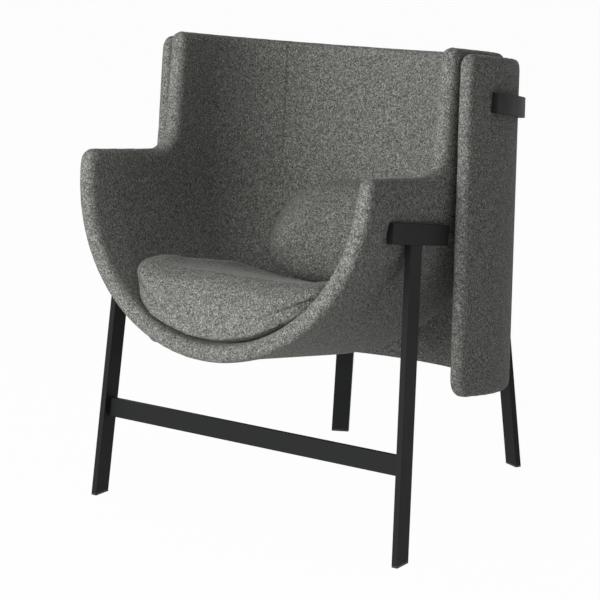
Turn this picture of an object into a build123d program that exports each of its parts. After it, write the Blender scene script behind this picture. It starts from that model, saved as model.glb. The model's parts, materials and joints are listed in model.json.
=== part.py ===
# Lounge chair: a round felt tub with a cape round its back, on a flat-bar steel frame.
# Millimetres, +Z up, the open front towards -Y, origin on the floor under the chair's middle.
import os
from math import asin, cos, hypot, radians, sin, sqrt, tan

from build123d import *

os.makedirs("parts", exist_ok=True)

# Flat-bar steel
BAR_T = 12.0
BAR_W = 36.0
BAR_EDGE = 1.0

# Front legs, brackets and stretcher
FOOT_BEHIND_RIM = 47.3
LEG_RAKE = 7.46
LEG_LEAN_IN = 2.65
BRACKET_HEIGHT = 550.3
BRACKET_LENGTH = 178.0
BRACKET_AHEAD = 76.0
BRACKET_SINK = 4.0
STRETCHER_TOP = 188.0
STRETCHER_SETBACK = 16.0

# Rear legs and hoop
REAR_FOOT_X = 213.0
REAR_FOOT_BACK = 7.0
REAR_LEG_ANGLE = 24.3
HOOP_BELOW_TOP = 104.4
HOOP_TILT = 9.2
HOOP_REACH = 5.0

# Foot glides
GLIDE_H = 4.0
GLIDE_PEG_R = 3.0
GLIDE_PEG_L = 14.0
PEG_CLEAR = 0.05

# Tub
TUB_R = 318.5
TUB_WALL = 32.5
TUB_DEPTH = 335.0
RIM_HEIGHT = 654.0
SEAT_TILT = 9.4
BACK_LEAN = 4.6
ARM_TOP = 680.6
ARM_FALL = 6.3
ARM_CORNER_R = 24.0
WING_FOOT_Y = 237.2
WING_LEAN = 8.0
WING_FOOT_R = 50.0
WING_TOP = 880.4
WING_CORNER_R = 18.0
BACK_TOP_FALL = 7.2
RIM_ROUND = 14.0

# Layers inside the tub wall
CORE_T = 8.0
TUB_COVER_T = 9.0
TUB_COVER_INSET = 24.0

# Cape
CAPE_TOP_GAP = 0.05
CAPE_FLARE = 1.72
CAPE_WALL = 27.5
CAPE_REACH = 81.0
CAPE_DROP = 8.0
CAPE_BOTTOM = 259.0
CAPE_BOTTOM_AT = 255.0
CAPE_TOP_R = 22.0
CAPE_BOTTOM_R = 34.0
CAPE_ROUND = 12.0
CAPE_COVER_T = 11.0
CAPE_COVER_INSET = 26.0

# Fixings
STUD_R = 4.0
BUSH_R = 9.0
NUT_R = 11.0
NUT_T = 6.0
STUD_PROUD = 2.0
HOLE_CLEAR = 0.2
FIX_CLEAR = 0.5
BRACKET_STUD_SPAN = 110.0
HOOP_STUD_ANGLES = (-72.0, -24.3, 24.3, 72.0)

# Seat cushion; shares are of the tub's inside radius
SEAT_WIDTH_SHARE = 0.72
SEAT_REAR_SHARE = 0.647
SEAT_CROWN_SHARE = 0.5175
SEAT_REAR_DROP_SHARE = 0.175
SEAT_FRONT = 3.0
SEAT_SIDE = 46.0
SEAT_FRONT_DROP = 32.0
SEAT_NOSE_DROP = 44.0
SEAT_SKIN = 4.0
SOFT_CLEAR = 0.4

# Lumbar cushion; shares are of the tub's inside radius
LUMBAR_ANGLE = 60.0
LUMBAR_T = 96.0
LUMBAR_TOP = 6.0
LUMBAR_LOW_SHARE = 0.7063
LUMBAR_END_DROP_SHARE = 0.4965
LUMBAR_END_LIFT_SHARE = 0.161

# Worked-out directions: x to the sitter's left hand, y to the back, z up
X_DIR = Vector(1, 0, 0)
TILT = radians(SEAT_TILT)
LEAN = radians(BACK_LEAN)
SEAT_DIR = Vector(0, cos(TILT), -sin(TILT))
SEAT_UP = Vector(0, sin(TILT), cos(TILT))
BACK_DIR = Vector(0, cos(LEAN), -sin(LEAN))
BACK_UP = Vector(0, sin(LEAN), cos(LEAN))

# The cape stands behind the tub's ball, nearest to it at the wing tops, and carries the hoop
BALL_Y = TUB_DEPTH * cos(TILT)
BALL_Z = RIM_HEIGHT - TUB_DEPTH * sin(TILT)
CAPE_RISE = (WING_TOP - BALL_Z) / cos(LEAN)
CAPE_R = TUB_R + CAPE_WALL + CAPE_TOP_GAP + CAPE_RISE * tan(radians(CAPE_FLARE))
HOOP_END_HEIGHT = WING_TOP - HOOP_BELOW_TOP
REAR_FOOT_Y = BALL_Y + CAPE_R + REAR_FOOT_BACK

# The origin is midway between the rim's foremost point and the rear feet's hindmost corner
RIM_FRONT_Y = RIM_ROUND * (cos(TILT) - 1) - (TUB_R - RIM_ROUND) * sin(TILT)
FOOT_TURN = radians(REAR_LEG_ANGLE)
REAR_Y = REAR_FOOT_Y + BAR_W / 2 * sin(FOOT_TURN) + BAR_T / 2 * cos(FOOT_TURN)
Y_ORIGIN = (RIM_FRONT_Y + REAR_Y) / 2

# Side views are drawn with y counted from the rim's centre
SIDE = Plane(origin=(0, -Y_ORIGIN, 0), x_dir=(0, 1, 0), z_dir=(1, 0, 0))
RIM_CENTRE = Vector(0, -Y_ORIGIN, RIM_HEIGHT)
BALL_CENTRE = RIM_CENTRE + SEAT_DIR * TUB_DEPTH
BACK_AXIS = Axis(BALL_CENTRE, BACK_UP)
BACK_SECTION = Plane(origin=BALL_CENTRE, x_dir=X_DIR, z_dir=BACK_DIR * -1)
OVERRUN = 60.0
BACK_RUN = 2 * TUB_R
HALF_WIDTH = 2 * CAPE_R
TOUCH = 0.01

# Radii of the tub's layers, and the cushions that fill its inside
TUB_IN_R = TUB_R - TUB_WALL
CORE_OUT_R = TUB_R - TUB_COVER_T
CORE_IN_R = CORE_OUT_R - CORE_T
SEAT_HALF_W = TUB_IN_R * SEAT_WIDTH_SHARE
SEAT_REAR = TUB_IN_R * SEAT_REAR_SHARE
SEAT_CROWN = TUB_IN_R * SEAT_CROWN_SHARE
SEAT_REAR_DROP = TUB_IN_R * SEAT_REAR_DROP_SHARE
LUMBAR_BOTTOM = TUB_IN_R * LUMBAR_LOW_SHARE
LUMBAR_END_DROP = TUB_IN_R * LUMBAR_END_DROP_SHARE
LUMBAR_END_LIFT = TUB_IN_R * LUMBAR_END_LIFT_SHARE


def save(part, name):
    """Label a finished piece and write its file."""
    part.label = name
    export_step(part, f"parts/{name}.step")


def mirrored(part):
    """The same piece for the other side of the chair."""
    with BuildPart() as other:
        mirror(part, about=Plane.YZ)
    return other.part


def crossing(p, p_dir, q, q_dir):
    """Where two side-view lines meet, each given by a point and a direction."""
    det = p_dir[0] * q_dir[1] - p_dir[1] * q_dir[0]
    k = ((q[0] - p[0]) * q_dir[1] - (q[1] - p[1]) * q_dir[0]) / det
    return (p[0] + k * p_dir[0], p[1] + k * p_dir[1])


def falling(angle):
    """Side-view direction that runs back and falls by an angle in degrees."""
    return (cos(radians(angle)), -sin(radians(angle)))


def rising(angle):
    """Side-view direction that runs up and leans back by an angle in degrees."""
    return (sin(radians(angle)), cos(radians(angle)))


def along(point, direction, length):
    """The point a length further along a side-view direction."""
    return (point[0] + direction[0] * length, point[1] + direction[1] * length)


def tub_form(radius):
    """Solid tub of one radius: a trough, a quarter ball, a round back and the block between them."""
    front = along((0, RIM_HEIGHT), falling(SEAT_TILT), -OVERRUN)
    ball = (BALL_Y, BALL_Z)
    with BuildPart() as form:
        with BuildSketch(Plane(origin=BALL_CENTRE, x_dir=X_DIR, z_dir=SEAT_DIR * -1)) as trough:
            Circle(radius)
            Rectangle(2 * radius, radius, align=(Align.CENTER, Align.MIN), mode=Mode.SUBTRACT)
        extrude(amount=TUB_DEPTH + OVERRUN)
        revolve(trough.sketch, Axis(BALL_CENTRE, X_DIR), 90 + SEAT_TILT - BACK_LEAN)
        with BuildSketch(Plane(origin=BALL_CENTRE, x_dir=X_DIR, z_dir=BACK_UP)):
            Circle(radius)
            Rectangle(2 * radius, radius, align=(Align.CENTER, Align.MAX), mode=Mode.SUBTRACT)
        extrude(amount=BACK_RUN)
        with BuildSketch(SIDE):
            with BuildLine():
                Polyline(
                    ball,
                    front,
                    along(front, rising(BACK_LEAN), BACK_RUN),
                    along(ball, rising(BACK_LEAN), BACK_RUN),
                    close=True,
                )
            make_face()
        extrude(amount=radius, both=True)
    return form.part


def tub_outline(inset=0.0):
    """Side view that the tub is trimmed to: rim, arm top, wing front and back top, moved in by an inset."""
    rim = along((0, RIM_HEIGHT), falling(SEAT_TILT), inset)
    arm = along((0, ARM_TOP), rising(ARM_FALL), -inset)
    wing = along((WING_FOOT_Y, ARM_TOP), falling(WING_LEAN), inset)
    wing = along(wing, rising(WING_LEAN), -WING_FOOT_Y * tan(radians(ARM_FALL)))
    top = along((WING_FOOT_Y, WING_TOP), rising(BACK_TOP_FALL), -inset)
    arm_front = crossing(rim, rising(SEAT_TILT), arm, falling(ARM_FALL))
    wing_foot = crossing(arm, falling(ARM_FALL), wing, rising(WING_LEAN))
    wing_top = crossing(wing, rising(WING_LEAN), top, falling(BACK_TOP_FALL))
    rear = along(wing_top, falling(BACK_TOP_FALL), BACK_RUN)
    low_rear = (rear[0], 0)
    low_front = crossing(rim, rising(SEAT_TILT), low_rear, (1, 0))
    with BuildSketch(SIDE) as outline:
        with BuildLine():
            FilletPolyline(
                low_front,
                arm_front,
                wing_foot,
                wing_top,
                rear,
                radius=[ARM_CORNER_R, WING_FOOT_R + inset, WING_CORNER_R],
            )
            Polyline(rear, low_rear, low_front)
        make_face()
    return outline.sketch


def trimmed(part, outline, half_width):
    """Keep what lies within a side-view outline."""
    with BuildPart() as kept:
        add(part)
        extrude(outline, amount=half_width, both=True, mode=Mode.INTERSECT)
    return kept.part


def wall(outer, inner):
    """A shell: one solid less another."""
    with BuildPart() as shell:
        add(outer)
        add(inner, mode=Mode.SUBTRACT)
    return shell.part


def rounded_rim(part, outline, radius):
    """Round the two edges of every rim that a side-view outline has cut."""
    border = outline.face().outer_wire()
    with BuildPart() as soft:
        add(part)
        rim = []
        for edge in soft.edges().filter_by(Axis.X, reverse=True):
            middle = edge @ 0.5
            if border.distance_to(Vector(0, middle.Y, middle.Z)) < TOUCH:
                rim.append(edge)
        fillet(rim, radius)
    return soft.part


def cape_radius(height):
    """Outside radius of the cape at a height along the back axis from the ball centre."""
    return CAPE_R - height * tan(radians(CAPE_FLARE))


def wrap(inner, outer, reach):
    """Flared half ring round the back axis with straight ends; radii are counted from the cape's outside."""
    low = -2 * TUB_R
    high = 2 * TUB_R
    with BuildPart() as band:
        with BuildSketch(BACK_SECTION) as section:
            with BuildLine():
                Polyline(
                    (cape_radius(low) + inner, low),
                    (cape_radius(low) + outer, low),
                    (cape_radius(high) + outer, high),
                    (cape_radius(high) + inner, high),
                    close=True,
                )
            make_face()
        extrude(amount=reach)
        mirror(about=Plane.YZ)
        revolve(section.sketch, BACK_AXIS, 180)
    return band.part


def cape_outline(inset=0.0):
    """Side view that the cape is trimmed to: front, top and bottom, moved in by an inset."""
    front = along((BALL_Y, BALL_Z), falling(BACK_LEAN), inset - CAPE_REACH)
    top = along((WING_FOOT_Y, WING_TOP), rising(BACK_TOP_FALL), -CAPE_DROP - inset)
    bottom = along((CAPE_BOTTOM_AT, CAPE_BOTTOM), rising(SEAT_TILT), inset)
    front_top = crossing(front, rising(BACK_LEAN), top, falling(BACK_TOP_FALL))
    front_low = crossing(front, rising(BACK_LEAN), bottom, falling(SEAT_TILT))
    rear_top = along(front_top, falling(BACK_TOP_FALL), 3 * CAPE_R)
    rear_low = along(front_low, falling(SEAT_TILT), 3 * CAPE_R)
    with BuildSketch(SIDE) as outline:
        with BuildLine():
            FilletPolyline(rear_low, front_low, front_top, rear_top, radius=[CAPE_BOTTOM_R, CAPE_TOP_R])
            Line(rear_top, rear_low)
        make_face()
    return outline.sketch


# Tub: the wall is cut to its outline, rounded at the rim, then parted into core, cover and pad
outline = tub_outline()
inner_outline = tub_outline(TUB_COVER_INSET)
core_outside = tub_form(CORE_OUT_R)
core_inside = tub_form(CORE_IN_R)
tub_inside = tub_form(TUB_IN_R)
tub_wall = rounded_rim(trimmed(wall(tub_form(TUB_R), tub_inside), outline, HALF_WIDTH), outline, RIM_ROUND)
tub_cover = trimmed(wall(tub_wall, core_outside), inner_outline, HALF_WIDTH)
tub_core = trimmed(wall(core_outside, core_inside), inner_outline, HALF_WIDTH)
tub_pad = wall(wall(tub_wall, tub_cover), tub_core)

# Cape: the same three layers in a flared half ring
cape_side = cape_outline()
cape_inner_side = cape_outline(CAPE_COVER_INSET)
core_in = -CAPE_COVER_T - CORE_T
cape_band = trimmed(wrap(-CAPE_WALL, 0, 2 * CAPE_REACH), cape_side, HALF_WIDTH)
cape_whole = rounded_rim(cape_band, cape_side, CAPE_ROUND)
cape_core = trimmed(wrap(core_in, -CAPE_COVER_T, 2 * CAPE_REACH), cape_inner_side, HALF_WIDTH)
cape_lining = trimmed(wrap(-CAPE_WALL, core_in, 2 * CAPE_REACH), cape_inner_side, HALF_WIDTH)
cape_cover = wall(wall(cape_whole, cape_core), cape_lining)


# Front frame in side view: leg edges from the foot, bracket along the tub
LEG_FOOT = (FOOT_BEHIND_RIM, 0)
LEG_WIDTH_Y = BAR_W / cos(radians(LEG_RAKE))
leg_centre = along(LEG_FOOT, (1, 0), LEG_WIDTH_Y / 2)
leg_back = along(LEG_FOOT, (1, 0), LEG_WIDTH_Y)
bracket_base = crossing(leg_centre, rising(LEG_RAKE), (0, BRACKET_HEIGHT), (1, 0))
bracket_front = along(bracket_base, falling(SEAT_TILT), -BRACKET_AHEAD)
bracket_rear = along(bracket_front, falling(SEAT_TILT), BRACKET_LENGTH)
bracket_top_front = along(bracket_front, rising(SEAT_TILT), BAR_W)
bracket_top_rear = along(bracket_rear, rising(SEAT_TILT), BAR_W)

# The legs lean in; the bracket's upper front corner is pressed into the tub's felt
LEG_IN = radians(LEG_LEAN_IN)
below_axis = Vector(0, *bracket_top_front).dot(SEAT_UP) - RIM_HEIGHT * SEAT_UP.Z
tub_side_x = sqrt(TUB_R**2 - below_axis**2)
FOOT_HALF_SPAN = tub_side_x - BRACKET_SINK + BAR_T / cos(LEG_IN) + bracket_top_front[1] * tan(LEG_IN)
LEG_OUT = Vector(cos(LEG_IN), 0, sin(LEG_IN))
LEG_PLANE = Plane(origin=(FOOT_HALF_SPAN, -Y_ORIGIN, 0), x_dir=(0, 1, 0), z_dir=LEG_OUT)


def leg_point(point):
    """A side-view point, brought on to the leaning leg plane."""
    return (point[0], point[1] / cos(LEG_IN))


def bar(points, thickness):
    """Flat bar in the right-hand leg plane, from its side-view outline, with eased edges."""
    with BuildPart() as flat:
        with BuildSketch(LEG_PLANE):
            with BuildLine():
                Polyline(*[leg_point(p) for p in points], close=True)
            make_face()
        extrude(amount=-thickness)
        fillet([edge for edge in flat.edges() if edge.length > 2 * BAR_W], BAR_EDGE)
    return flat.part


def footed(leg):
    """An overlong leg, cut level where its glide begins."""
    with BuildPart() as cut:
        add(leg)
        split(bisect_by=Plane.XY.offset(GLIDE_H), keep=Keep.TOP)
    return cut.part


foot_level = (0, -BAR_W)
front_leg = footed(
    bar(
        [
            crossing(LEG_FOOT, rising(LEG_RAKE), foot_level, (1, 0)),
            crossing(leg_back, rising(LEG_RAKE), foot_level, (1, 0)),
            crossing(leg_back, rising(LEG_RAKE), bracket_base, falling(SEAT_TILT)),
            crossing(LEG_FOOT, rising(LEG_RAKE), bracket_base, falling(SEAT_TILT)),
        ],
        BAR_T,
    )
)
front_bracket = bar([bracket_front, bracket_rear, bracket_top_rear, bracket_top_front], BAR_T)

# Stretcher: a raked bar whose ends meet the insides of the leaning legs
stretcher_line = along(LEG_FOOT, (1, 0), STRETCHER_SETBACK)
stretcher_top = crossing(stretcher_line, rising(LEG_RAKE), (0, STRETCHER_TOP), (1, 0))
with BuildPart() as stretcher:
    with BuildSketch(SIDE):
        with BuildLine():
            Polyline(
                stretcher_top,
                along(stretcher_top, falling(LEG_RAKE), BAR_T),
                along(along(stretcher_top, falling(LEG_RAKE), BAR_T), rising(LEG_RAKE), -BAR_W),
                along(stretcher_top, rising(LEG_RAKE), -BAR_W),
                close=True,
            )
        make_face()
    extrude(amount=FOOT_HALF_SPAN)
    split(bisect_by=LEG_PLANE.offset(-BAR_T), keep=Keep.BOTTOM)
    mirror(about=Plane.YZ)
    fillet(stretcher.edges().filter_by(Axis.X), BAR_EDGE)

# Rear hoop: a flat bar bent round the cape, falling towards the back
hoop_centre = along((BALL_Y, BALL_Z), rising(BACK_LEAN), (HOOP_END_HEIGHT - BALL_Z) / cos(LEAN))
HOOP_PLANE = Plane(
    origin=(0, hoop_centre[0] - Y_ORIGIN, hoop_centre[1]),
    x_dir=(0, *falling(HOOP_TILT)),
    z_dir=(1, 0, 0),
)
HOOP_UP = Vector(0, *rising(HOOP_TILT))
HOOP_IN = FIX_CLEAR
with BuildPart() as hoop:
    add(wrap(HOOP_IN, HOOP_IN + BAR_T, 2 * HOOP_REACH))
    with BuildSketch(HOOP_PLANE):
        with Locations((-HOOP_REACH, 0)):
            Rectangle(3 * CAPE_R, BAR_W, align=(Align.MIN, Align.CENTER))
    extrude(amount=HALF_WIDTH, both=True, mode=Mode.INTERSECT)
    hoop_ends = hoop.faces().filter_by(Axis(HOOP_PLANE.origin, HOOP_PLANE.x_dir))
    fillet(hoop_ends.edges(), BAR_EDGE)


def outward(angle):
    """Direction out from the back axis, turned from straight back by an angle in degrees."""
    return X_DIR * sin(radians(angle)) + BACK_DIR * cos(radians(angle))


def hoop_point(angle, radius, rise):
    """Point at a distance out from the cape, a rise above the hoop's middle and an angle from the back."""
    ray = outward(angle)
    start = BALL_CENTRE + ray * (CAPE_R + radius)
    climb = BACK_UP - ray * tan(radians(CAPE_FLARE))
    height = (rise - (start - HOOP_PLANE.origin).dot(HOOP_UP)) / climb.dot(HOOP_UP)
    return start + climb * height


# Rear leg: a flat bar from the floor to the hoop's lower edge, its wide face turned with the hoop
rear_foot = Vector(REAR_FOOT_X, REAR_FOOT_Y - Y_ORIGIN, 0)
rear_top = hoop_point(REAR_LEG_ANGLE, HOOP_IN + BAR_T / 2, -BAR_W / 2)
rear_run = rear_top - rear_foot
rear_across = Vector(cos(FOOT_TURN), -sin(FOOT_TURN), 0)
REAR_PLANE = Plane(origin=rear_foot, x_dir=rear_across, z_dir=rear_across.cross(rear_run))
rear_climb = rear_run.dot(REAR_PLANE.y_dir)
rear_drift = rear_run.dot(rear_across) / rear_climb
rear_half_w = BAR_W / 2 * hypot(1, rear_drift)
rear_low = -BAR_W
rear_high = rear_climb + BAR_W
with BuildPart() as rear_bar:
    with BuildSketch(REAR_PLANE):
        with BuildLine():
            Polyline(
                (rear_drift * rear_low - rear_half_w, rear_low),
                (rear_drift * rear_low + rear_half_w, rear_low),
                (rear_drift * rear_high + rear_half_w, rear_high),
                (rear_drift * rear_high - rear_half_w, rear_high),
                close=True,
            )
        make_face()
    extrude(amount=BAR_T / 2, both=True)
    split(bisect_by=Plane(origin=HOOP_PLANE.origin - HOOP_UP * (BAR_W / 2), z_dir=HOOP_UP), keep=Keep.BOTTOM)
    fillet(rear_bar.edges().filter_by(Axis(rear_foot, rear_run)), BAR_EDGE)
rear_leg = footed(rear_bar.part)


def glide(leg):
    """Foot glide under a leg's end: a pad of the bar's outline with a peg."""
    sole = leg.faces().sort_by(Axis.Z)[0]
    with BuildPart() as foot:
        extrude(sole, amount=GLIDE_H, dir=(0, 0, -1))
        with BuildSketch(Plane(sole.center())):
            Circle(GLIDE_PEG_R)
        extrude(amount=GLIDE_PEG_L)
    return foot.part


def peg_hole(leg):
    """The same leg with the hole for its glide's peg."""
    sole = leg.faces().sort_by(Axis.Z)[0]
    with BuildPart() as holed:
        add(leg)
        with BuildSketch(Plane(sole.center())):
            Circle(GLIDE_PEG_R + PEG_CLEAR)
        extrude(amount=GLIDE_PEG_L + PEG_CLEAR, mode=Mode.SUBTRACT)
    return holed.part


def pin(start, direction, radius, near, far):
    """Round rod along a direction, between two distances from a start point."""
    with BuildPart() as rod:
        with BuildSketch(Plane(origin=start + direction * near, z_dir=direction)):
            Circle(radius)
        extrude(amount=far - near)
    return rod.part


def reach(start, inward, axis_dir, radius):
    """Distance from a start point to a round surface about an axis through the ball centre."""
    gap = start - BALL_CENTRE
    gap = gap - axis_dir * gap.dot(axis_dir)
    run = inward - axis_dir * inward.dot(axis_dir)
    b = gap.dot(run)
    return (-b - sqrt(b**2 - run.dot(run) * (gap.dot(gap) - radius**2))) / run.dot(run)


def joined(pieces):
    """Several pieces as one node of separate solids."""
    with BuildPart() as group:
        for piece in pieces:
            add(piece)
    return group.part


def shared(part, form):
    """What a piece has in common with a solid form."""
    with BuildPart() as common:
        add(part)
        add(form, mode=Mode.INTERSECT)
    return common.part


def fixings(carrier, starts, inwards, axis_dir):
    """Studs, bushes and nuts that hold a bar to the tub's core, with the holes that they need."""
    sets = {"studs": [], "bushes": [], "nuts": [], "stud_holes": [], "bush_holes": [], "nut_holes": []}
    for start, inward in zip(starts, inwards):
        core = reach(start, inward, axis_dir, CORE_IN_R)
        end = core + NUT_T + STUD_PROUD
        hole = pin(start, inward, STUD_R + HOLE_CLEAR, -BAR_T, end + BAR_T)
        bush = wall(pin(start, inward, BUSH_R, -BAR_T / 2, core), core_outside)
        sets["studs"].append(wall(pin(start, inward, STUD_R, -BAR_T / 2, end), carrier))
        sets["bushes"].append(wall(wall(bush, carrier), hole))
        sets["nuts"].append(wall(shared(pin(start, inward, NUT_R, 0, core + NUT_T), core_inside), hole))
        sets["stud_holes"].append(hole)
        sets["bush_holes"].append(pin(start, inward, BUSH_R + HOLE_CLEAR, -TOUCH, core))
        sets["nut_holes"].append(pin(start, inward, NUT_R + HOLE_CLEAR, 0, end + HOLE_CLEAR))
    return {name: joined(pieces) for name, pieces in sets.items()}


# Bracket fixings: two studs from each bracket's inside
bracket_middle = along(bracket_front, falling(SEAT_TILT), BRACKET_LENGTH / 2)
bracket_middle = along(bracket_middle, rising(SEAT_TILT), BAR_W / 2)
bracket_starts = []
for step in (-BRACKET_STUD_SPAN / 2, BRACKET_STUD_SPAN / 2):
    spot = leg_point(along(bracket_middle, falling(SEAT_TILT), step))
    bracket_starts.append(LEG_PLANE.offset(-BAR_T).from_local_coords(Vector(spot[0], spot[1], 0)))
bracket_set = fixings(front_bracket, bracket_starts, [LEG_OUT * -1] * len(bracket_starts), SEAT_DIR)
bracket_set = {name: joined([group, mirrored(group)]) for name, group in bracket_set.items()}

# Hoop fixings: studs that run square to the back axis, through the cape
hoop_starts = [hoop_point(angle, HOOP_IN, 0) for angle in HOOP_STUD_ANGLES]
hoop_set = fixings(hoop.part, hoop_starts, [outward(angle) * -1 for angle in HOOP_STUD_ANGLES], BACK_UP)

# The felt gives way under each bracket
with BuildPart() as bracket_space:
    with BuildSketch(LEG_PLANE):
        with BuildLine():
            bracket_corners = [bracket_front, bracket_rear, bracket_top_rear, bracket_top_front]
            Polyline(*[leg_point(corner) for corner in bracket_corners], close=True)
        make_face()
        offset(amount=FIX_CLEAR, kind=Kind.INTERSECTION)
    extrude(amount=-BAR_T - FIX_CLEAR)
    mirror(about=Plane.YZ)
tub_cover = wall(tub_cover, bracket_space.part)

# Holes through the tub's and the cape's layers
for fixing_set in (bracket_set, hoop_set):
    tub_cover = wall(tub_cover, fixing_set["bush_holes"])
    tub_core = wall(tub_core, fixing_set["stud_holes"])
    tub_pad = wall(tub_pad, fixing_set["nut_holes"])
cape_cover = wall(cape_cover, hoop_set["bush_holes"])
cape_core = wall(cape_core, hoop_set["bush_holes"])
cape_lining = wall(cape_lining, hoop_set["bush_holes"])


def polar(radius, angle):
    """Section point at a radius and an angle above the ball centre's level."""
    return (radius * cos(angle), radius * sin(angle))


def lumbar_form(inset):
    """Lumbar cushion: a loft of upright sections fanned round the ball centre, cut to the tub's inside."""
    outside = TUB_IN_R + SEAT_SIDE
    with BuildPart() as cushion:
        for v in (-1, -0.94, -0.8, -0.5, 0, 0.5, 0.8, 0.94, 1):
            top = asin((LUMBAR_TOP - LUMBAR_END_DROP * abs(v) ** 5 - inset) / TUB_IN_R)
            low = asin((-LUMBAR_BOTTOM + LUMBAR_END_LIFT * v**6 + inset) / TUB_IN_R)
            deep = LUMBAR_T * sqrt(1 - 0.94 * v**4) - inset
            mid = (top + low) / 2
            turn = v * radians(LUMBAR_ANGLE) * (1 - inset / TUB_IN_R)
            ray = X_DIR * sin(turn) + SEAT_DIR * cos(turn)
            top_front = polar(TUB_IN_R - 0.55 * deep, mid + 0.92 * (top - mid))
            low_front = polar(TUB_IN_R - 0.36 * deep, 1.06 * low)
            with BuildSketch(Plane(origin=BALL_CENTRE, x_dir=ray, z_dir=ray.cross(SEAT_UP))):
                with BuildLine():
                    ThreePointArc(polar(outside, top), polar(outside, mid), polar(outside, low))
                    ThreePointArc(polar(outside, low), polar(TUB_IN_R - 0.1 * deep, 1.05 * low), low_front)
                    ThreePointArc(low_front, polar(TUB_IN_R - deep, mid), top_front)
                    ThreePointArc(top_front, polar(TUB_IN_R - 0.15 * deep, top + 0.02), polar(outside, top))
                make_face()
        loft()
        add(tub_form(TUB_IN_R - SOFT_CLEAR - inset), mode=Mode.INTERSECT)
    return cushion.part


def seat_form(inset):
    """Seat cushion: a loft of arched sections across the tub, cut to the tub and the lumbar cushion."""
    half_length = (TUB_DEPTH + SEAT_REAR - SEAT_FRONT) / 2
    middle = SEAT_FRONT + half_length
    with BuildPart() as cushion:
        for u in (-1, -0.96, -0.86, -0.63, -0.2, 0.25, 0.6, 0.82, 0.95, 1):
            if u < 0:
                narrowing = 0.6 * u**8
                fall = SEAT_FRONT_DROP * u**2 + SEAT_NOSE_DROP * u**24
            else:
                narrowing = 0.92 * u**2.8
                fall = SEAT_REAR_DROP * u**1.2
            half = SEAT_HALF_W * sqrt(1 - narrowing)
            top = -SEAT_CROWN - fall
            past_ball = max(0, middle + u * half_length - TUB_DEPTH)
            radius = sqrt(TUB_IN_R**2 - past_ball**2)
            edge = -sqrt(radius**2 - half**2)
            side = min(SEAT_SIDE, 0.85 * (top - edge))
            shoulder = (half - side / 3 - inset, edge + side - inset)
            waist = (half - inset, edge + side / 3)
            foot = (half - side / 3 - inset, edge - SEAT_SIDE / 2)
            spot = RIM_CENTRE + SEAT_DIR * (middle + u * (half_length - inset))
            with BuildSketch(Plane(origin=spot, x_dir=X_DIR, z_dir=SEAT_DIR * -1)):
                with BuildLine():
                    ThreePointArc((-shoulder[0], shoulder[1]), (0, top - inset), shoulder)
                    ThreePointArc(shoulder, waist, foot)
                    ThreePointArc(foot, (0, -radius - SEAT_SIDE), (-foot[0], foot[1]))
                    ThreePointArc((-foot[0], foot[1]), (-waist[0], waist[1]), (-shoulder[0], shoulder[1]))
                make_face()
        loft()
        add(tub_form(TUB_IN_R - SOFT_CLEAR - inset), mode=Mode.INTERSECT)
        add(lumbar_form(-SOFT_CLEAR - inset), mode=Mode.SUBTRACT)
    return cushion.part


# Cushions: each cover is its form less the foam inside it
lumbar_foam = lumbar_form(SEAT_SKIN)
lumbar_cover = wall(lumbar_form(0), lumbar_foam)
seat_foam = seat_form(SEAT_SKIN)
seat_cover = wall(seat_form(0), seat_foam)

# Every piece to its file
save(tub_pad, "tub_inner_pad")
save(tub_cover, "tub_outer_cover")
save(tub_core, "tub_core")
save(cape_cover, "cape_outer_cover")
save(cape_lining, "cape_inner_cover")
save(cape_core, "cape_core")
for leg, place in ((front_leg, "front"), (rear_leg, "rear")):
    holed = peg_hole(leg)
    foot = glide(leg)
    save(holed, f"{place}_leg_right")
    save(mirrored(holed), f"{place}_leg_left")
    save(foot, f"foot_glide_{place}_right")
    save(mirrored(foot), f"foot_glide_{place}_left")
save(front_bracket, "front_bracket_right")
save(mirrored(front_bracket), "front_bracket_left")
save(stretcher.part, "front_stretcher")
save(hoop.part, "rear_hoop")
for place, fixing_set in (("bracket", bracket_set), ("hoop", hoop_set)):
    for kind in ("studs", "bushes", "nuts"):
        save(fixing_set[kind], f"{place}_{kind}")
save(seat_cover, "seat_cushion")
save(seat_foam, "seat_foam")
save(lumbar_cover, "lumbar_cushion")
save(lumbar_foam, "lumbar_foam")
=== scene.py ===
import json
from math import cos, pi, radians, sin

import bmesh
import bpy
import numpy as np
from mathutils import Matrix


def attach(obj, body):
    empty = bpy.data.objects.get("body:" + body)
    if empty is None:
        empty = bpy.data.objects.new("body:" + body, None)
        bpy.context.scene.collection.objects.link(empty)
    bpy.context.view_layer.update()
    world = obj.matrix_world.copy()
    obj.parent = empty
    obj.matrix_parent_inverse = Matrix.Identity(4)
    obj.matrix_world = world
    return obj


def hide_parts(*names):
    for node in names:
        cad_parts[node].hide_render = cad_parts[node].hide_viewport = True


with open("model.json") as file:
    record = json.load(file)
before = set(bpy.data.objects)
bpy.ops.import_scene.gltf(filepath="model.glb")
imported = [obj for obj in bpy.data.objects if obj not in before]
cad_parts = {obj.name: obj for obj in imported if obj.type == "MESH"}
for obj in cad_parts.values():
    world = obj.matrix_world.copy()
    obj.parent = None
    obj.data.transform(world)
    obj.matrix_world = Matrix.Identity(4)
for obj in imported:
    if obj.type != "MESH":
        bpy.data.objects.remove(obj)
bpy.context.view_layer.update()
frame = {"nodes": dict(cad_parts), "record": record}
MM = 0.001

# Felt: one mid grey wool with lighter and darker fibres in it, as flecks and wider patches under a nap
FELT_DARK = "#3a3b38"
FELT_MID = "#6a6b67"
FELT_LIGHT = "#a9aaa4"
FELT_BLOOM = "#d8d8d4"
FLECK = 2.6 * MM
PATCH = 9 * MM
PATCH_SHARE = 0.12
NAP = 1.2 * MM

# Sewn lines in the felt: the colour of painted shade that darkens their folds, and how deep the fold looks
SEAM_PAINTED_SHADE = "#7a7a78"
SEAM_FOLD = 1.5 * MM
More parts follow.
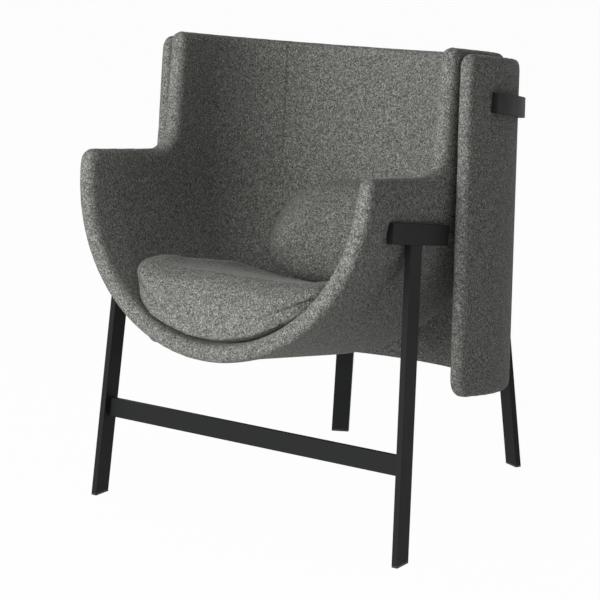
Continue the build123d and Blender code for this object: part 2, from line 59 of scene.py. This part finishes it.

# The tub's two upright seams: distance from the middle, half width, strength of their painted shade and
# bumped fold, the heights between which they fade in, and the stretch behind the middle in which they start
BACK_SEAM_X = 228 * MM
BACK_SEAM_HALF = 1.5 * MM
BACK_SEAM_SHADE_AND_FOLD = 0.35
BACK_SEAM_LOW = 0.60
BACK_SEAM_HIGH = 0.66
BACK_SEAM_FRONT = 0.02
BACK_SEAM_REAR = 0.03

# Powder coat: its orange-peel ripple, and the slow drift of its tone
COAT_PEEL = 1.6 * MM
COAT_DRIFT = 60 * MM

# Mesh sizes of the padded skins, fine enough for their roundings
SHELL_VOXEL = 5.5 * MM
CUSHION_VOXEL = 5 * MM
CUSHION_ROUNDS = 2
MERGE = 0.01 * MM

# Stuffing: how far inside its form a cushion starts, how far a point may swell, and for how many frames
START_IN = 1.0 * MM
SWELL_CAP = 3 * MM
SWELL_FRAMES = 20

# The tub's axis, from the middle of its rim, falls to the back at the seat's tilt
RIM_CENTRE = np.array([0.0, -327.49, 654.0]) * MM
SEAT_TILT = radians(9.4)
SEAT_DIR = np.array([0.0, cos(SEAT_TILT), -sin(SEAT_TILT)])
SEAT_UP = np.array([0.0, sin(SEAT_TILT), cos(SEAT_TILT)])

# The tub in mm: how far along its axis its ball end is centred, and a radius 2 mm inside its inner wall
TUB_DEPTH = 335
TUB_INSIDE = 284.0
BALL_CENTRE = RIM_CENTRE + SEAT_DIR * TUB_DEPTH * MM

# The tub's rim: the share by which it opens, and how many mm behind its front that has faded out
RIM_OPENING = 0.0125
RIM_FADE = 90

# The seat's top in mm: a dish between raised rolls. Each pair gives where a form starts and where it is
# full or gone, back along the tub's axis or in height above it.
SEAT_HALF = 200
DISH_DEPTH = 30
DISH_START = 60
DISH_LENGTH = 470
FRONT_ROLL = 12
FRONT_ROLL_FADE = (110, 220)
SIDE_ROLL = 4
BACK_ROLL = 9
BACK_ROLL_RISE = (280, 360)
TOP_HEIGHTS = (-235, -165)

# The rolls go on rising up to this share of the seat's half width
ROLL_REACH = 1.05

# The seat's widening near its top, as shares of the distance across: all along, and more at its front
# corners. The pairs are in mm, as above.
WIDER = 0.035
WIDER_HEIGHTS = (-215, -185)
CORNER_WIDER = 0.04
CORNER_FADE = (40, 130)

# The seat's seam in mm: how far it is below the axis at the middle, its rise to the sides, its crease's
# depth and reach, the reach of its painted shade and bumped fold, the distance across at which it is drawn
# tight, and the strength of that painted shade and fold as a share
SEAM_BELOW = 276
SEAM_RISE = 89
CREASE_DEPTH = 1.4
CREASE_REACH = 2.6
SHADE_AND_FOLD_REACH = 1.8
SEAM_TIGHT = 170
SHADE_AND_FOLD_STRENGTH = 0.7

# The lumbar cushion: its half width as a turn round the ball's centre, and the shares that the solid and
# the full cushion lose at their ends
LUMBAR_TURN = radians(60)
SOLID_LOSS = 0.94
FULL_LOSS = 0.6

# Studio: the floor's half side, the share of it that is plain white to the eye, the light from the
# surround, and the point that the lamps face
FLOOR_HALF = 30.0
FLOOR_WHITE = 0.97
SURROUND_FILL = 0.27
CHAIR_MIDDLE = (0, 0, 0.5)

# Camera: place, turn about Z and fall below level in radians, and its lens and sensor in mm
CAMERA_PLACE = (2.06765, -2.94574, 1.16830)
CAMERA_TURN = 0.6248
CAMERA_FALL = 0.2159
LENS = 116.54
SENSOR_WIDTH = 36.0
SIGHT_END = 200.0


# Materials


def linear(code):
    """sRGB hex to linear colour: the sRGB curve on each channel."""
    parts = np.array([int(code[i : i + 2], 16) / 255 for i in (1, 3, 5)])
    curve = np.where(parts <= 0.04045, parts / 12.92, ((parts + 0.055) / 1.055) ** 2.4)
    return (*curve, 1.0)


def add(tree, kind, settings=None, links=None):
    """Adds one node: settings give its fields and inputs by name or number, and links give the node and
    output that feed an input."""
    node = tree.nodes.new(kind)
    for key, value in (settings or {}).items():
        if isinstance(key, str) and hasattr(node, key):
            setattr(node, key, value)
        else:
            node.inputs[key].default_value = value
    for key, (source, output) in (links or {}).items():
        tree.links.new(source.outputs[output], node.inputs[key])
    return node


def finish_named(name):
    """A new material with nothing but an output node: gives the material, its node tree and that node."""
    material = bpy.data.materials.new(name)
    material.use_nodes = True
    tree = material.node_tree
    tree.nodes.clear()
    return material, tree, add(tree, "ShaderNodeOutputMaterial")


def stops(ramp, *colours):
    """Sets a colour ramp's stops from (position, sRGB hex) pairs."""
    bar = ramp.color_ramp
    while len(bar.elements) < len(colours):
        bar.elements.new(0.5)
    for element, (position, code) in zip(bar.elements, colours):
        element.position = position
        element.color = linear(code)


def wool_felt(name, seam_x=None):
    """Fulled wool felt, mottled from fibres of several greys: flecks in slightly lighter and darker
    patches, a nap, and a bloom at grazing angles from its standing fibres. It has painted shade and a bumped
    fold where its "seam" attribute says that it is sewn or, where seam_x is given, along an upright seam at
    each side."""
    material, tree, out = finish_named(name)
    place = add(tree, "ShaderNodeTexCoord")
    fleck = add(
        tree,
        "ShaderNodeTexNoise",
        {"Scale": 1 / FLECK, "Detail": 3.0, "Roughness": 0.6, "Distortion": 0.8},
        {"Vector": (place, "Object")},
    )
    patch = add(
        tree,
        "ShaderNodeTexNoise",
        {"Scale": 1 / PATCH, "Detail": 2.0, "Roughness": 0.5},
        {"Vector": (place, "Object")},
    )
    fibres = add(
        tree,
        "ShaderNodeMath",
        {"operation": "MULTIPLY_ADD", 1: PATCH_SHARE},
        {0: (patch, "Fac"), 2: (fleck, "Fac")},
    )
    tone = add(tree, "ShaderNodeValToRGB", None, {"Fac": (fibres, "Value")})
    stops(tone, (0.39, FELT_DARK), (0.56, FELT_MID), (0.75, FELT_LIGHT))
    nap = add(
        tree,
        "ShaderNodeTexNoise",
        {"Scale": 1 / NAP, "Detail": 2.0, "Roughness": 0.6},
        {"Vector": (place, "Object")},
    )
    if seam_x is None:
        line = (add(tree, "ShaderNodeAttribute", {"attribute_name": "seam"}), "Fac")
    else:
        line = (upright_seam(tree, place, seam_x), "Value")
    # Painted shade along the seams: the felt's tone multiplied by the seam colour as far as the mask goes
    shade = add(
        tree,
        "ShaderNodeMix",
        {"data_type": "RGBA", "blend_type": "MULTIPLY", 7: linear(SEAM_PAINTED_SHADE)},
        {"Factor": line, 6: (tone, "Color")},
    )
    relief = add(
        tree,
        "ShaderNodeBump",
        {"Strength": 0.35, "Distance": NAP},
        {"Height": (nap, "Fac")},
    )
    fold = add(
        tree,
        "ShaderNodeBump",
        {"Strength": 0.6, "Distance": SEAM_FOLD, "invert": True},
        {"Height": line, "Normal": (relief, "Normal")},
    )
    shader = add(
        tree,
        "ShaderNodeBsdfPrincipled",
        {
            "Roughness": 0.95,
            "Specular IOR Level": 0.1,
            "Sheen Weight": 0.25,
            "Sheen Roughness": 0.22,
            "Sheen Tint": linear(FELT_BLOOM),
        },
        {"Base Color": (shade, 2), "Normal": (fold, "Normal")},
    )
    tree.links.new(shader.outputs["BSDF"], out.inputs["Surface"])
    return material


def upright_seam(tree, place, seam_x):
    """Faint line of painted shade and bumped fold in the felt where |x| is seam_x, give or take its half
    width, times a fade up the tub's back and a fade in behind the middle."""
    axes = add(tree, "ShaderNodeSeparateXYZ", None, {"Vector": (place, "Object")})
    side = add(tree, "ShaderNodeMath", {"operation": "ABSOLUTE"}, {0: (axes, "X")})
    near = add(
        tree,
        "ShaderNodeMath",
        {"operation": "COMPARE", 1: seam_x, 2: BACK_SEAM_HALF},
        {0: (side, "Value")},
    )
    height = add(
        tree,
        "ShaderNodeMapRange",
        {"From Min": BACK_SEAM_LOW, "From Max": BACK_SEAM_HIGH, "To Min": 0.0, "To Max": BACK_SEAM_SHADE_AND_FOLD},
        {"Value": (axes, "Z")},
    )
    behind = add(
        tree,
        "ShaderNodeMapRange",
        {"From Min": BACK_SEAM_FRONT, "From Max": BACK_SEAM_REAR},
        {"Value": (axes, "Y")},
    )
    high = add(
        tree,
        "ShaderNodeMath",
        {"operation": "MULTIPLY"},
        {0: (near, "Value"), 1: (height, "Result")},
    )
    return add(
        tree,
        "ShaderNodeMath",
        {"operation": "MULTIPLY"},
        {0: (high, "Value"), 1: (behind, "Result")},
    )


def powder_coat():
    """Matt black powder coat, baked on steel: even and dark, with a fine orange-peel ripple and a slow
    drift of tone and gloss."""
    material, tree, out = finish_named("powder_coat")
    place = add(tree, "ShaderNodeTexCoord")
    peel = add(
        tree,
        "ShaderNodeTexNoise",
        {"Scale": 1 / COAT_PEEL, "Detail": 1.0, "Roughness": 0.5},
        {"Vector": (place, "Object")},
    )
    drift = add(
        tree,
        "ShaderNodeTexNoise",
        {"Scale": 1 / COAT_DRIFT, "Detail": 2.0},
        {"Vector": (place, "Object")},
    )
    tone = add(tree, "ShaderNodeValToRGB", None, {"Fac": (drift, "Fac")})
    stops(tone, (0.3, "#161717"), (0.7, "#1a1b1b"))
    gloss = add(
        tree,
        "ShaderNodeMapRange",
        {"From Min": 0.3, "From Max": 0.7, "To Min": 0.58, "To Max": 0.66},
        {"Value": (drift, "Fac")},
    )
    relief = add(
        tree,
        "ShaderNodeBump",
        {"Strength": 0.12, "Distance": 0.3 * MM},
        {"Height": (peel, "Fac")},
    )
    shader = add(
        tree,
        "ShaderNodeBsdfPrincipled",
        {"Specular IOR Level": 0.16},
        {"Base Color": (tone, "Color"), "Roughness": (gloss, "Result"), "Normal": (relief, "Normal")},
    )
    tree.links.new(shader.outputs["BSDF"], out.inputs["Surface"])
    return material


def grained(name, grain, low, high, rough, metal=0.0, stretch=(1, 1, 1)):
    """A plain solid stock whose tone and relief follow one noise: the tone drifts between two colours over
    a grain of a given size in mm, which is as many times finer along each axis as stretch says."""
    material, tree, out = finish_named(name)
    place = add(tree, "ShaderNodeTexCoord")
    stretched = add(tree, "ShaderNodeMapping", {"Scale": stretch}, {"Vector": (place, "Object")})
    grains = add(
        tree,
        "ShaderNodeTexNoise",
        {"Scale": 1 / (grain * MM), "Detail": 3.0, "Roughness": 0.6},
        {"Vector": (stretched, "Vector")},
    )
    tone = add(tree, "ShaderNodeValToRGB", None, {"Fac": (grains, "Fac")})
    stops(tone, (0.35, low), (0.65, high))
    relief = add(
        tree,
        "ShaderNodeBump",
        {"Strength": 0.2, "Distance": 0.3 * MM},
        {"Height": (grains, "Fac")},
    )
    shader = add(
        tree,
        "ShaderNodeBsdfPrincipled",
        {"Roughness": rough, "Metallic": metal},
        {"Base Color": (tone, "Color"), "Normal": (relief, "Normal")},
    )
    tree.links.new(shader.outputs["BSDF"], out.inputs["Surface"])
    return material


felt = wool_felt("wool_felt")
# The tub's felt, with painted shade and a bumped fold along its two upright seams
tub_felt = wool_felt("wool_felt_seam_shaded", BACK_SEAM_X)
coat = powder_coat()
# Moulded nylon: dull and near black, with the mould's fine grain
nylon = grained("moulded_nylon", 0.8, "#17181a", "#1e1f21", rough=0.6)
# Bent birch plywood: pale brown, in thin level streaks
plywood = grained("bent_birch_ply", 6.0, "#b08d62", "#d0b186", rough=0.7, stretch=(1, 1, 12))
# Open-cell foam: cream and quite matt, speckled by its cells
foam = grained("open_cell_foam", 1.5, "#cfc7ae", "#e3dcc6", rough=0.95)
# Zinc-plated steel: grey metal, finely speckled by the plating
zinc = grained("zinc_plated_steel", 0.7, "#8d9092", "#a6a9ab", rough=0.4, metal=1.0)

FINISHES = {
    "felt": felt,
    "steel": coat,
    "glide": nylon,
    "core_board": plywood,
    "foam": foam,
    "fixing_steel": zinc,
}


def dress_cad_nodes():
    """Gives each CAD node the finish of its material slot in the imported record."""
    for entry in frame["record"]["subparts"]:
        mesh = frame["nodes"][entry["node"]].data
        mesh.materials.clear()
        mesh.materials.append(FINISHES[entry["material_slot"]])


# Padded pieces


def copy_of(name, nodes):
    """One new mesh from copies of CAD solids, with their loose triangles' corners merged."""
    shell = bmesh.new()
    for node in nodes:
        shell.from_mesh(frame["nodes"][node].data)
    bmesh.ops.remove_doubles(shell, verts=shell.verts, dist=MERGE)
    mesh = bpy.data.meshes.new(name)
    shell.to_mesh(mesh)
    shell.free()
    piece = bpy.data.objects.new(name, mesh)
    bpy.context.scene.collection.objects.link(piece)
    return piece


def settle(piece):
    """Bakes a piece's modifiers into its mesh."""
    graph = bpy.context.evaluated_depsgraph_get()
    mesh = bpy.data.meshes.new_from_object(piece.evaluated_get(graph), depsgraph=graph)
    piece.modifiers.clear()
    piece.data = mesh


def skin(piece, voxel, rounds):
    """One even closed skin over a piece: a voxel remesh, eased by rounds that move each point half way to
    the middle of its neighbours."""
    remesh = piece.modifiers.new("skin", "REMESH")
    remesh.mode = "VOXEL"
    remesh.voxel_size = voxel
    ease = piece.modifiers.new("ease", "SMOOTH")
    ease.factor = 0.5
    ease.iterations = rounds
    settle(piece)


def points_of(mesh):
    """A mesh's points as an n x 3 array."""
    flat = np.empty(len(mesh.vertices) * 3)
    mesh.vertices.foreach_get("co", flat)
    return flat.reshape(-1, 3)


def move_points(mesh, points):
    """Puts an n x 3 array of points into a mesh."""
    mesh.vertices.foreach_set("co", points.ravel())
    mesh.update()


def normals_of(mesh):
    """A mesh's point normals as an n x 3 array."""
    flat = np.empty(len(mesh.vertices) * 3)
    mesh.vertex_normals.foreach_get("vector", flat)
    return flat.reshape(-1, 3)


def finish_padded(piece, body, cloth):
    """Smooth shading, felt, and the body that the piece rides on."""
    piece.data.materials.clear()
    piece.data.materials.append(cloth)
    piece.data.polygons.foreach_set("use_smooth", np.ones(len(piece.data.polygons), bool))
    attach(piece, body)
    return piece


def upholster(name, nodes, rounds, cloth, shape):
    """A padded shell: its layers skinned over as one felt-covered piece, then moved by a shape's formula."""
    piece = copy_of(name, nodes)
    skin(piece, SHELL_VOXEL, rounds)
    move_points(piece.data, shape(points_of(piece.data)))
    return finish_padded(piece, "frame", cloth)


def stuff(piece):
    """Blows a cushion up as cloth: it starts a little inside its form and swells under pressure, and
    each point keeps its way but goes no further than the cap."""
    mesh = piece.data
    start = points_of(mesh) - normals_of(mesh) * START_IN
    move_points(mesh, start)
    cloth = piece.modifiers.new("stuffing", "CLOTH")
    cloth.settings.quality = 5
    cloth.settings.mass = 0.4
    cloth.settings.tension_stiffness = 20
    cloth.settings.compression_stiffness = 20
    cloth.settings.bending_stiffness = 0.5
    cloth.settings.use_pressure = True
    cloth.settings.uniform_pressure_force = 4.0
    cloth.settings.effector_weights.gravity = 0.0
    scene = bpy.context.scene
    for moment in range(1, SWELL_FRAMES + 1):
        scene.frame_set(moment)
    settle(piece)
    way = points_of(piece.data) - start
    length = np.linalg.norm(way, axis=1, keepdims=True)
    move_points(piece.data, start + way * np.minimum(1, SWELL_CAP / np.maximum(length, 1e-9)))
    scene.frame_set(1)


def keep_inside(piece, form):
    """Keeps a cushion's skin inside the form that it started from, so that it stays clear of its
    neighbours."""
    limit = piece.modifiers.new("limit", "SHRINKWRAP")
    limit.target = form
    limit.wrap_method = "NEAREST_SURFACEPOINT"
    limit.wrap_mode = "INSIDE"
    settle(piece)


def cushion(name, cover, filling, body, shape):
    """A loose cushion: a skin of its CAD cover and foam, moved by a shape's formula, stuffed as cloth, kept
    in its own space and divided once."""
    piece = copy_of(name, [cover, filling])
    skin(piece, CUSHION_VOXEL, CUSHION_ROUNDS)
    move_points(piece.data, shape(points_of(piece.data)))
    form = bpy.data.objects.new(name + "_form", piece.data.copy())
    bpy.context.scene.collection.objects.link(form)
    stuff(piece)
    keep_inside(piece, form)
    bpy.data.objects.remove(form)
    fine = piece.modifiers.new("fine", "SUBSURF")
    fine.levels = 1
    fine.render_levels = 1
    settle(piece)
    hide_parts(cover, filling)
    return finish_padded(piece, body, felt)


def step(value, low, high):
    """Smooth step: 0 below low, 1 above high, and 3k^2 - 2k^3 between them."""
    k = np.clip((value - low) / (high - low), 0, 1)
    return k * k * (3 - 2 * k)


def seat_place(points):
    """A point's distance across, back along the tub's axis and up from it, in mm."""
    from_rim = (points - RIM_CENTRE) / MM
    return from_rim[:, 0], from_rim @ SEAT_DIR, from_rim @ SEAT_UP


def as_made(points):
    """No change of shape."""
    return points


def flared(points):
    """The tub with its front rim opened: across it, and below its axis, points move out by a share of their
    distance that fades out behind the front."""
    _, run, height = seat_place(points)
    open_by = RIM_OPENING * (1 - step(run, 0, RIM_FADE))
    shaped = points + SEAT_UP * (np.minimum(height, 0) * open_by * MM)[:, None]
    shaped[:, 0] = points[:, 0] * (1 + open_by)
    return shaped


def sat_in(points):
    """The seat's top as it is when used. Its middle is dished by the 0.9th power of a sine along the tub,
    and the dish fades out to raised side rolls by the 3.5th power of the distance across. Near its top it
    is a little wider, most at its front corners, and no wider than the tub."""
    across, run, height = seat_place(points)
    dish = DISH_DEPTH * np.sin(pi * np.clip((run - DISH_START) / DISH_LENGTH, 0, 1)) ** 0.9
    front = FRONT_ROLL * (1 - step(run, *FRONT_ROLL_FADE))
    rolls = front + SIDE_ROLL + BACK_ROLL * step(run, *BACK_ROLL_RISE)
    fade = np.minimum(np.abs(across) / SEAT_HALF, ROLL_REACH) ** 3.5
    lift = ((dish + rolls) * fade - dish) * step(height, *TOP_HEIGHTS)
    corners = CORNER_WIDER * (1 - step(run, *CORNER_FADE))
    wider = step(height, *WIDER_HEIGHTS) * (WIDER + corners)
    wall = np.sqrt(np.maximum(TUB_INSIDE**2 - height**2, 0))
    half = np.maximum(np.minimum(np.abs(across) * (1 + wider), wall), np.abs(across))
    shaped = points + SEAT_UP * (lift * MM)[:, None]
    shaped[:, 0] = np.sign(across) * half * MM
    return shaped


def plumped(points):
    """The lumbar cushion with full ends: its depth from the tub's wall, measured towards the ball's centre,
    grows by the root of (1 - full loss v^6) / (1 - solid loss v^4), where v is the turn as a share of the
    cushion's half width."""
    from_ball = (points - BALL_CENTRE) / MM
    ahead = from_ball @ SEAT_DIR
    turn = np.arctan2(from_ball[:, 0], ahead) / LUMBAR_TURN
    share = np.minimum(np.abs(turn), 1)
    reach = np.linalg.norm(from_ball, axis=1)
    fuller = np.sqrt((1 - FULL_LOSS * share**6) / (1 - SOLID_LOSS * share**4)) - 1
    deep = np.maximum(TUB_INSIDE - reach, 0) * fuller
    return BALL_CENTRE + from_ball * (1 - deep / reach)[:, None] * MM


def seat_seam(points):
    """Distance in mm above the seat's sewn line, which runs round it and rises from the middle to the sides
    by the 1.2th power of the distance across."""
    across, _, height = seat_place(points)
    return height + SEAM_BELOW - SEAM_RISE * (np.abs(across) / SEAT_HALF) ** 1.2


def sew(piece, seam):
    """Draws a cushion's skin in along a seam: a bell-shaped crease with painted shade and a bumped fold in
    its bottom, which fade out towards the middle by the square of the distance across."""
    mesh = piece.data
    points = points_of(mesh)
    off = seam(points)
    tight = np.clip(np.abs(points[:, 0]) / (SEAM_TIGHT * MM), 0, 1) ** 2
    crease = tight * np.exp(-((off / CREASE_REACH) ** 2))
    move_points(mesh, points - normals_of(mesh) * (CREASE_DEPTH * MM * crease)[:, None])
    # Painted shade, and the felt's bumped fold, along the bottom of the crease
    sewn = mesh.attributes.new("seam", "FLOAT", "POINT")
    sewn.data.foreach_set("value", SHADE_AND_FOLD_STRENGTH * tight * np.exp(-((off / SHADE_AND_FOLD_REACH) ** 2)))


# Stage, light and camera


def seen_straight(tree):
    """1 where a ray comes from the camera, off gloss or through glass, and 0 for the light on matt."""
    path = add(tree, "ShaderNodeLightPath")
    first = add(
        tree,
        "ShaderNodeMath",
        {"operation": "MAXIMUM"},
        {0: (path, "Is Camera Ray"), 1: (path, "Is Glossy Ray")},
    )
    return add(
        tree,
        "ShaderNodeMath",
        {"operation": "MAXIMUM"},
        {0: (first, "Value"), 1: (path, "Is Transmission Ray")},
    )


def white_floor():
    """A pale level floor: matt, and to the eye nearly all plain white, with enough of the matt left to keep
    the chair's shadow."""
    half = FLOOR_HALF
    corners = [(-half, -half, 0), (half, -half, 0), (half, half, 0), (-half, half, 0)]
    mesh = bpy.data.meshes.new("floor")
    mesh.from_pydata(corners, [], [(0, 1, 2, 3)])
    material, tree, out = finish_named("pale_floor")
    place = add(tree, "ShaderNodeTexCoord")
    cloud = add(tree, "ShaderNodeTexNoise", {"Scale": 0.5}, {"Vector": (place, "Object")})
    tone = add(tree, "ShaderNodeValToRGB", None, {"Fac": (cloud, "Fac")})
    stops(tone, (0.3, "#f2f2f2"), (0.7, "#f5f5f5"))
    matt = add(
        tree,
        "ShaderNodeBsdfPrincipled",
        {"Roughness": 0.9, "Specular IOR Level": 0.1},
        {"Base Color": (tone, "Color")},
    )
    white = add(tree, "ShaderNodeEmission", {"Color": (1, 1, 1, 1), "Strength": 1.0})
    share = add(
        tree,
        "ShaderNodeMath",
        {"operation": "MULTIPLY", 1: FLOOR_WHITE},
        {0: (seen_straight(tree), "Value")},
    )
    mix = add(
        tree,
        "ShaderNodeMixShader",
        None,
        {0: (share, "Value"), 1: (matt, "BSDF"), 2: (white, "Emission")},
    )
    tree.links.new(mix.outputs["Shader"], out.inputs["Surface"])
    mesh.materials.append(material)
    floor = bpy.data.objects.new("floor", mesh)
    bpy.context.scene.collection.objects.link(floor)


def white_world():
    """A surround that is white to the eye and in gloss, and lights the chair by a plain fill level."""
    world = bpy.data.worlds.new("studio")
    bpy.context.scene.world = world
    world.use_nodes = True
    tree = world.node_tree
    tree.nodes.clear()
    light = add(tree, "ShaderNodeBackground", {"Color": (1, 1, 1, 1), "Strength": SURROUND_FILL})
    white = add(tree, "ShaderNodeBackground", {"Color": (1, 1, 1, 1), "Strength": 1.0})
    mix = add(
        tree,
        "ShaderNodeMixShader",
        None,
        {0: (seen_straight(tree), "Value"), 1: (light, "Background"), 2: (white, "Background")},
    )
    add(tree, "ShaderNodeOutputWorld", None, {"Surface": (mix, "Shader")})


def soft_lamp(name, place, size, power):
    """A square soft light, turned to face the chair: tilted by its angle from straight above the chair's
    middle, then turned about Z to its own side."""
    data = bpy.data.lights.new(name, "AREA")
    data.shape = "SQUARE"
    data.size = size
    data.energy = power
    lamp = bpy.data.objects.new(name, data)
    bpy.context.scene.collection.objects.link(lamp)
    way = np.array(place) - np.array(CHAIR_MIDDLE)
    tilt = np.arctan2(np.hypot(way[0], way[1]), way[2])
    lamp.location = place
    lamp.rotation_euler = (tilt, 0, np.arctan2(way[1], way[0]) + pi / 2)


def photo_camera():
    """The camera at the photograph's viewing angle, for a square frame."""
    data = bpy.data.cameras.new("camera")
    data.sensor_fit = "HORIZONTAL"
    data.sensor_width = SENSOR_WIDTH
    data.lens = LENS
    data.clip_end = SIGHT_END
    camera = bpy.data.objects.new("camera", data)
    camera.location = CAMERA_PLACE
    camera.rotation_euler = (pi / 2 - CAMERA_FALL, 0, CAMERA_TURN)
    bpy.context.scene.collection.objects.link(camera)
    bpy.context.scene.camera = camera


# The scene

bpy.context.scene.view_settings.view_transform = "Standard"
photo_camera()
dress_cad_nodes()

tub = upholster(
    "tub_upholstery",
    ["tub_inner_pad", "tub_outer_cover", "tub_core"],
    rounds=5,
    cloth=tub_felt,
    shape=flared,
)
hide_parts("tub_inner_pad", "tub_outer_cover")
cape = upholster(
    "cape_upholstery",
    ["cape_outer_cover", "cape_inner_cover", "cape_core"],
    rounds=14,
    cloth=felt,
    shape=as_made,
)
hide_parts("cape_outer_cover", "cape_inner_cover")
seat = cushion("seat_pad", "seat_cushion", "seat_foam", body="seat", shape=sat_in)
sew(seat, seat_seam)
cushion("lumbar_pad", "lumbar_cushion", "lumbar_foam", body="lumbar", shape=plumped)

white_floor()
white_world()
soft_lamp("key", place=(-0.5, -4.25, 1.8), size=2.4, power=193.0)
soft_lamp("top", place=(0.2, 0.3, 3.2), size=2.5, power=5.0)
